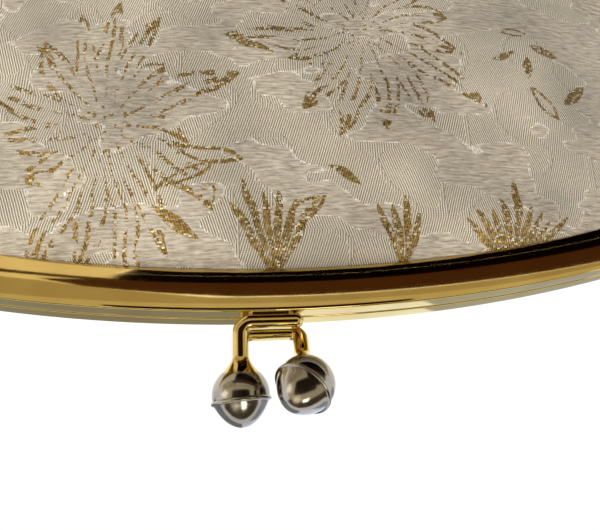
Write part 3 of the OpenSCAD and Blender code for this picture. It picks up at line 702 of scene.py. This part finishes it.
rib = add(tree, "Math", rib, add(tree, "MapRange", slub, 0.35, 0.65, 0.45, 1.25), operation="MULTIPLY")
ground = calculate(tree, "MULTIPLY_ADD", pick, 0.18, rib)
smooth = add(tree, "MapRange", streak, 0.3, 0.7, -0.9, 0.9)
woven = add(tree, "Mix", satin_part, ground, smooth, data_type="FLOAT")
height = add(tree, "Math", sheen_run, 0.5, result(woven),
             operation="MULTIPLY_ADD")
height = calculate(tree, "MULTIPLY_ADD", ridge, 1.6, height)
bump = add(tree, "Bump", 0.8, 0.00012, None, height)
tree.links.new(result(bump), shader.inputs["Normal"])

# Painted light and shade on the ribs: the ground is painted lighter on the rib crests and darker in their
# valleys, as its bump rises and falls.
painted_rib_light = add(tree, "MapRange", ground, -0.6, 1.1, 0.0, 1.0)
ground_colour = add(tree, "Mix", painted_rib_light, linear("#807461"), linear("#d6cebc"), data_type="RGBA")
# The satin is painted lighter on its raised streaks and darker between them: painted sheen and shade.
satin_colour = add(tree, "Mix", add(tree, "MapRange", streak, 0.3, 0.7, 0.0, 1.0), linear("#7d7264"),
                   linear("#bfb5a3"), data_type="RGBA")
cloth_colour = add(tree, "Mix", satin_part, ground_colour, satin_colour, data_type="RGBA")
# Painted highlight: the ridges at the edges of the satin areas are painted near white.
cloth_colour = add(tree, "Mix", calculate(tree, "MULTIPLY", ridge, 0.62), cloth_colour,
                   linear("#ece6da"), data_type="RGBA")
# The gold thread's tone is painted light: painted sheen that differs at random from float to float, and
# painted light and shade from the ribs beneath it.
thread_painted_light = add(tree, "Math", sheen_run, 0.6, calculate(tree, "MULTIPLY", painted_rib_light, 0.4),
                  operation="MULTIPLY_ADD")
thread_colour = add(tree, "Mix", thread_painted_light, linear("#57441f"), linear("#cfb070"), data_type="RGBA")
# Painted glints: here and there a float of the gold thread is painted near white.
painted_glint = add(tree, "MapRange", sheen_run, 0.955, 0.965, 0.0, 1.0)
thread_colour = add(tree, "Mix", painted_glint, thread_colour, linear("#fff3d0"), data_type="RGBA")
colour = add(tree, "Mix", gold_thread, cloth_colour, thread_colour, data_type="RGBA")
# Broad light and shade where the cloth lies uneven over its felt, and a shade line in the tuck.
drift = add(tree, "MapRange", add(tree, "TexNoise", field, 0.05, 1.5), 0.33, 0.67, 0.72, 1.14)
tuck_shade = add(tree, "MapRange", down, -0.4, 2.8, 0.6, 1.0)
drift = calculate(tree, "MULTIPLY", drift, tuck_shade)
colour = add(tree, "Mix", 1.0, colour, drift, data_type="RGBA", blend_type="MULTIPLY")
tree.links.new(result(colour), shader.inputs["Base Color"])
metal = calculate(tree, "MULTIPLY", gold_thread, 0.7)
tree.links.new(metal.outputs[0], shader.inputs["Metallic"])
shine = add(tree, "Mix", satin_part, 0.55, 0.42, data_type="FLOAT")
shine = add(tree, "Mix", gold_thread, shine, 0.34, data_type="FLOAT")
tree.links.new(result(shine), shader.inputs["Roughness"])
shader.inputs["Sheen Weight"].default_value = 0.08
shader.inputs["Sheen Roughness"].default_value = 0.4


# Front and rear panels: one piece of brocade each, tucked into the frame's channel at its top edge,
# full and rounded below it, and sewn to the gussets and the base.
TUCK, CLOTH_IN, CLOTH_T, BASE_W, GUSSET_W = 2.6, 1.75, 0.5, 109, 16
HINGE_DEPTH, RISE, FULL_AT, SIDE_POW, SIDE_ROOT = 17.6, 0.6, 22, 3, 0.75
SPREAD_H, BOTTOM_ROUND, SIDE_FULL_AT, GUSSET_POW = 25, 14, 15, 0.75
PUCKER, RIPPLE, ROLL_OUT, ROLL_IN = 0.35, 0.22, 0.45, 0.3
TUCK_W = HALF_W - TUCK
MID_H = FRAME_TOP - FACE_H - HINGE_Z
RISE_K = (HINGE_DEPTH - CLOTH_IN) / MID_H ** RISE
RISE_SLOPE = RISE_K * RISE * MID_H ** (RISE - 1)


def outline_z(x, inset):
    """Height of the frame's outline, set in by inset, above a point across the bag."""
    a = abs(x)
    if a <= (TOP_R - inset) * math.sin(MEET):
        return TOP_C + math.sqrt((TOP_R - inset) ** 2 - a * a)
    return CORNER_Z + math.sqrt(max(0, (CORNER_R - inset) ** 2 - (a - CORNER_X) ** 2))


def bag_half_w(u):
    """Half the bag's width at a depth u below the hinges."""
    t = min(1, max(0, (u - EAR_R) / SPREAD_H))
    low = max(0, BOTTOM_ROUND - HINGE_Z + u)
    return TUCK_W + (BASE_W - TUCK_W) * t * t * (3 - 2 * t) - low * low / (2 * BOTTOM_ROUND)


def full_half_w(u):
    """Half the width over which a panel is full, at a depth u below the hinges."""
    return HALF_W - FACE_H + (bag_half_w(u) - HALF_W + FACE_H) * min(1, u / SIDE_FULL_AT)


def gusset_w(u):
    """Half the gusset's width at a depth u below the hinges."""
    return CLOTH_IN + (GUSSET_W - CLOTH_IN) * (max(0, u) / HINGE_Z) ** GUSSET_POW


def side_share(x, w):
    """Share of a panel's fullness that is left at x, with none at the half width w."""
    return max(0, 1 - (abs(x) / w) ** SIDE_POW) ** SIDE_ROOT


def depth(x, z):
    """How far the brocade's face stands from the parting plane."""
    if z >= HINGE_Z:
        above = max(0, outline_z(x, FACE_H) - z)
        return CLOTH_IN + RISE_K * above ** RISE * side_share(x, HALF_W - FACE_H)
    u = HINGE_Z - z
    g = gusset_w(u)
    middle = HINGE_DEPTH + RISE_SLOPE * (u - u * u / (2 * (HINGE_Z - FULL_AT)))
    return g + (middle - g) * side_share(x, full_half_w(u))


def cloth_solid(face, back):
    """Points and faces of a thin sheet between two equal grids."""
    columns, rows = len(face), len(face[0])
    n = columns * rows
    points = [p for column in face for p in column] + [p for column in back for p in column]
    faces = []
    for i in range(columns - 1):
        for j in range(rows - 1):
            a, b, c, d = i * rows + j, i * rows + j + 1, (i + 1) * rows + j + 1, (i + 1) * rows + j
            faces += [(a, b, c, d), (n + d, n + c, n + b, n + a)]
    for i in range(columns - 1):
        for j in (0, rows - 1):
            faces.append((i * rows + j, (i + 1) * rows + j, n + (i + 1) * rows + j, n + i * rows + j))
    for j in range(rows - 1):
        for i in (0, columns - 1):
            faces.append((i * rows + j, n + i * rows + j, n + i * rows + j + 1, i * rows + j + 1))
    return points, faces


def cloth_piece(name, face, back, body, material, side, flat_map):
    """A sheet of cloth: its solid and its flat map."""
    points, faces = cloth_solid(face, back)
    flat = [uv for column in flat_map for uv in column]
    piece = new_piece(name, points, faces, body, material, side,
                      [(u * MM, v * MM) for u, v in flat + flat])
    return piece


def flat_lengths(column, zero):
    """Length along a column of points, counted from the height zero, and positive below it."""
    made = [0.0]
    for a, b in zip(column, column[1:]):
        made.append(made[-1] + math.hypot(a[1] - b[1], a[2] - b[2]))
    near = min(range(len(column)), key=lambda i: abs(column[i][2] - zero))
    return [m - made[near] for m in made]


def panel_rows(x, low, upper_rows, lower_rows):
    """Heights down one column, from the tucked edge to the hinges and on to the bottom."""
    top = outline_z(x, TUCK)
    return ([top - (top - HINGE_Z) * (i / upper_rows) for i in range(upper_rows)]
            + [HINGE_Z - (HINGE_Z - low) * (i / lower_rows) for i in range(lower_rows + 1)])


def panel_face(columns, upper_rows, lower_rows, low, inset, depth_at):
    """A panel's face as columns of points."""
    made = []
    for i in range(columns + 1):
        share = math.sin(math.pi / 2 * (2 * i / columns - 1))
        rows = []
        for z in panel_rows(share * TUCK_W, low, upper_rows, lower_rows):
            half = TUCK_W
            if z < HINGE_Z:
                half = bag_half_w(HINGE_Z - z) - inset * (HINGE_Z - z) / HINGE_Z
            rows.append((share * half, -depth_at(share * half, z), z))
        made.append(rows)
    return made


def puckered(face, seed):
    """Small puckers and gathers: none in the channel, most just below the frame."""
    made = []
    for column in face:
        rows = []
        for x, y, z in column:
            below = outline_z(x, FACE_H) - z
            free = min(1, max(0, below - 0.5) / 5)
            lift = PUCKER * noise.noise(Vector((x / 10, z / 12, seed)))
            lift += RIPPLE * noise.noise(Vector((x / 4, z / 5, seed + 7)))
            roll = 0.7 + 0.9 * noise.noise(Vector((x / 17, 0, seed + 3)))
            rolled = ROLL_OUT * math.exp(-((below - 7.5) / 2) ** 2)
            lift += roll * (rolled - ROLL_IN * math.exp(-((below - 3) / 2) ** 2))
            rows.append((x, y + lift * free * min(1, (TUCK_W + 5 - abs(x)) / 8), z))
        made.append(rows)
    return made


PANEL_FROM_HINGE = 56
for name, side, seed in (("front", 1, 1.0), ("rear", -1, 23.0)):
    face = puckered(panel_face(260, 64, 44, 0, 0, depth), seed)
    back = [[(x, y + CLOTH_T, z) for x, y, z in column] for column in face]
    flat_map = [[(-p[0], PANEL_FROM_HINGE + run) for p, run in zip(column, flat_lengths(column, HINGE_Z))]
                for column in face]
    piece = cloth_piece(name + "_brocade_panel", face, back, None, brocade, side,
                        flat_map)
    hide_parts(name + "_panel_upper", name + "_panel_fold", name + "_panel_lower")
    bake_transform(piece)


# Gussets: a tapering strip of the brocade at each side, creased inwards along its middle. It is
# sewn to both panels and to the base, and ends just below the frame's ears.
CREASE, CREASE_ROUND, SEAM_GAP = 0.35, 0.004, 0.02
GUSSET_EASE, GUSSET_ON_CLOTH = 1.08, 60


def gusset_face(inset, side_gap, low, top, rows=48, steps=24):
    """The right gusset's face as columns of points."""
    made = []
    for k in range(steps + 1):
        t = 2 * k / steps - 1
        column = []
        for i in range(rows + 1):
            z = top - (top - low) * i / rows
            half = gusset_w(HINGE_Z - z) - side_gap
            fold = CREASE * half * (1 - math.sqrt(t * t + CREASE_ROUND)) / (1 - math.sqrt(CREASE_ROUND))
            column.append((bag_half_w(HINGE_Z - z) - inset - fold, t * half, z))
        made.append(column)
    return made


GUSSET_TOP = HINGE_Z - EAR_R - 1
for name, turn in (("right", 1), ("left", -1)):
    face = gusset_face(0, CLOTH_T + SEAM_GAP, 0, GUSSET_TOP)
    back = [[((x - CLOTH_T) * turn, y, z) for x, y, z in column] for column in face]
    face = [[(x * turn, y, z) for x, y, z in column] for column in face]
    flat_map = [[(GUSSET_ON_CLOTH + GUSSET_EASE * p[1], PANEL_FROM_HINGE + HINGE_Z - p[2]) for p in column]
                for column in face]
    piece = cloth_piece(name + "_brocade_gusset", face, back, "bag", brocade, 1,
                        flat_map)
    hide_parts(name + "_gusset")


# Base: a strip of the brocade over a stiff grey board. The board is inside, and stays as made in the
# frame model with its own finish.
BASE_T, BASE_ON_CLOTH = 0.8, 125


def plate(z, inset, columns=60, rows=16):
    """A flat piece of the base as columns of points, with the gussets' creases cut in at its ends."""
    end = bag_half_w(HINGE_Z - z) - inset
    made = []
    for i in range(columns + 1):
        share = math.sin(math.pi / 2 * (2 * i / columns - 1))
        column = []
        for j in range(rows + 1):
            t = 2 * j / rows - 1
            x = share * (end - CREASE * gusset_w(HINGE_Z - z) * (1 - abs(t)) * abs(share) ** 4)
            column.append((x, t * (depth(share * end, z) - inset), z))
        made.append(column)
    return made


face = plate(0, CLOTH_T + SEAM_GAP)
back = [[(x, y, z + BASE_T) for x, y, z in column] for column in face]
flat_map = [[(p[0], BASE_ON_CLOTH + p[1]) for p in column] for column in face]
piece = cloth_piece("base_brocade", face, back, "bag", brocade, 1, flat_map)
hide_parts("base_cloth")

board_grey, tree, shader = new_material("grey_binders_board")
place = add(tree, "TexCoord").outputs["Object"]
flecks = add(tree, "TexNoise", place, 900.0, 3.0)
tint = add(tree, "Mix", flecks, linear("#8d8577"), linear("#b1a998"), data_type="RGBA")
tree.links.new(result(tint), shader.inputs["Base Color"])
shader.inputs["Roughness"].default_value = 0.9
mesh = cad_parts["base_board"].data
mesh.materials.clear()
mesh.materials.append(board_grey)


# Felt: two pieces of white wool felt behind each brocade panel, one above and one below the fold at
# the hinges, cut short of it so that the purse opens easily. Lightly pasted to the brocade.
FELT_IN, FELT_T, FELT_DROP, FELT_LOW = 0.8, 1, 12, 3.3
FELT_ABOVE_HINGE, FELT_BELOW_HINGE, FELT_CORNER = 6.5, 11.5, 18
felt_white, tree, shader = new_material("needled_wool_felt")
place = add(tree, "TexCoord").outputs["Object"]
fluff = add(tree, "TexNoise", place, 1400.0, 4.0)
tint = add(tree, "Mix", fluff, linear("#d9d4c8"), linear("#f3efe6"), data_type="RGBA")
tree.links.new(result(tint), shader.inputs["Base Color"])
shader.inputs["Roughness"].default_value = 1
for name, side in (("front", 1), ("rear", -1)):
    for level, half_w, columns, rows in (("upper", 70, 56, 24), ("lower", 88, 64, 24)):
        face = []
        for i in range(columns + 1):
            x = half_w * (2 * i / columns - 1)
            top, low = outline_z(x, FACE_H) - FELT_DROP, HINGE_Z + FELT_ABOVE_HINGE
            if level == "lower":
                top, low = HINGE_Z - FELT_BELOW_HINGE - FELT_CORNER * abs(x / half_w) ** 5, FELT_LOW
            heights = [top - (top - low) * j / rows for j in range(rows + 1)]
            face.append([(x, FELT_IN - depth(x, z), z) for z in heights])
        back = [[(x, y + FELT_T, z) for x, y, z in column] for column in face]
        flat_map = [[(p[0], run) for p, run in zip(column, flat_lengths(column, HINGE_Z))]
                    for column in face]
        piece = cloth_piece(name + "_felt_" + level, face, back, None, felt_white, side,
                            flat_map)
        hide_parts(name + "_interlining_" + level)
        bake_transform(piece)


# Lining: champagne satin, cut as the shell is and a little smaller, tucked into the same channels.
LINING_T, LINING_NEAR, LINING_FAR, LOFT, LINING_SIDE, LINING_LOW = 0.3, 0.8, 2.1, 4, 3, 3.3
LINING_GUSSET_GAP, LINING_BASE_GAP = 0.05, 0.3
satin, tree, shader = new_material("champagne_satin_lining")
metres = add(tree, "UVMap", uv_map="cloth")
field = add(tree, "VectorMath", metres, 1000.0, operation="SCALE")
threads = add(tree, "VectorMath", field, (5.0, 0.4, 1.0), operation="MULTIPLY")
threads = add(tree, "TexNoise", threads, 1.0, 2.0, 0.6)
tint = add(tree, "Mix", threads, linear("#b79f74"), linear("#d8c6a0"), data_type="RGBA")
tree.links.new(result(tint), shader.inputs["Base Color"])
shader.inputs["Roughness"].default_value = 0.38
shader.inputs["Sheen Weight"].default_value = 0.4
bump = add(tree, "Bump", 0.3, 0.00006, None, threads)
tree.links.new(result(bump), shader.inputs["Normal"])


def lining_depth(x, z):
    """How far the lining's face stands from the parting plane."""
    outer = depth(x, z)
    return outer - LINING_NEAR - (LINING_FAR - LINING_NEAR) * min(1, (outer - CLOTH_IN) / LOFT)


for name, side, seed in (("front", 1, 41.0), ("rear", -1, 61.0)):
    face = panel_face(120, 32, 26, LINING_LOW, LINING_SIDE, lining_depth)
    back = [[(x, y + LINING_T, z) for x, y, z in column] for column in face]
    flat_map = [[(p[0], run) for p, run in zip(column, flat_lengths(column, HINGE_Z))] for column in face]
    piece = cloth_piece(name + "_satin_lining", face, back, None, satin, side,
                        flat_map)
    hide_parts(name + "_lining_upper", name + "_lining_fold", name + "_lining_lower")
    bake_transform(piece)

for name, turn in (("right", 1), ("left", -1)):
    side_gap = LINING_FAR + LINING_T + LINING_GUSSET_GAP
    face = gusset_face(LINING_SIDE, side_gap, LINING_LOW, GUSSET_TOP, 30, 16)
    back = [[((x - LINING_T) * turn, y, z) for x, y, z in column] for column in face]
    face = [[(x * turn, y, z) for x, y, z in column] for column in face]
    flat_map = [[(GUSSET_EASE * p[1], HINGE_Z - p[2]) for p in column] for column in face]
    piece = cloth_piece(name + "_satin_gusset", face, back, "bag", satin, 1,
                        flat_map)
    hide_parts(name + "_lining_gusset")

face = plate(LINING_LOW, LINING_SIDE + LINING_T + LINING_BASE_GAP, 40, 12)
back = [[(x, y, z + LINING_T) for x, y, z in column] for column in face]
flat_map = [[(p[0], p[1]) for p in column] for column in face]
piece = cloth_piece("satin_base", face, back, "bag", satin, 1, flat_map)
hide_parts("lining_base")


# Slip pocket: a flat piece of the satin sewn to the rear lining along its sides and its bottom. Its
# top edge is turned over once and hemmed.
POCKET_W, POCKET_LOW, POCKET_HIGH, POCKET_GAP = 90, 14, 48, 0.6
POCKET_COLUMNS, POCKET_ROWS, HEM_ROWS, HEM_T = 40, 20, 2, 0.15
face, back = [], []
for i in range(POCKET_COLUMNS + 1):
    x = -POCKET_W / 2 + POCKET_W * i / POCKET_COLUMNS
    front, behind = [], []
    for j in range(POCKET_ROWS + 1):
        z = POCKET_HIGH - (POCKET_HIGH - POCKET_LOW) * j / POCKET_ROWS
        hem = HEM_T if j <= HEM_ROWS else 0
        y = lining_depth(x, z) - POCKET_GAP
        front.append((x, -y - hem, z))
        behind.append((x, -y + LINING_T + hem, z))
    face.append(front)
    back.append(behind)
flat_map = [[(p[0], HINGE_Z - p[2]) for p in column] for column in face]
piece = cloth_piece("satin_slip_pocket", face, back, "bag", satin, -1, flat_map)
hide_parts("slip_pocket")

low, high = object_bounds()
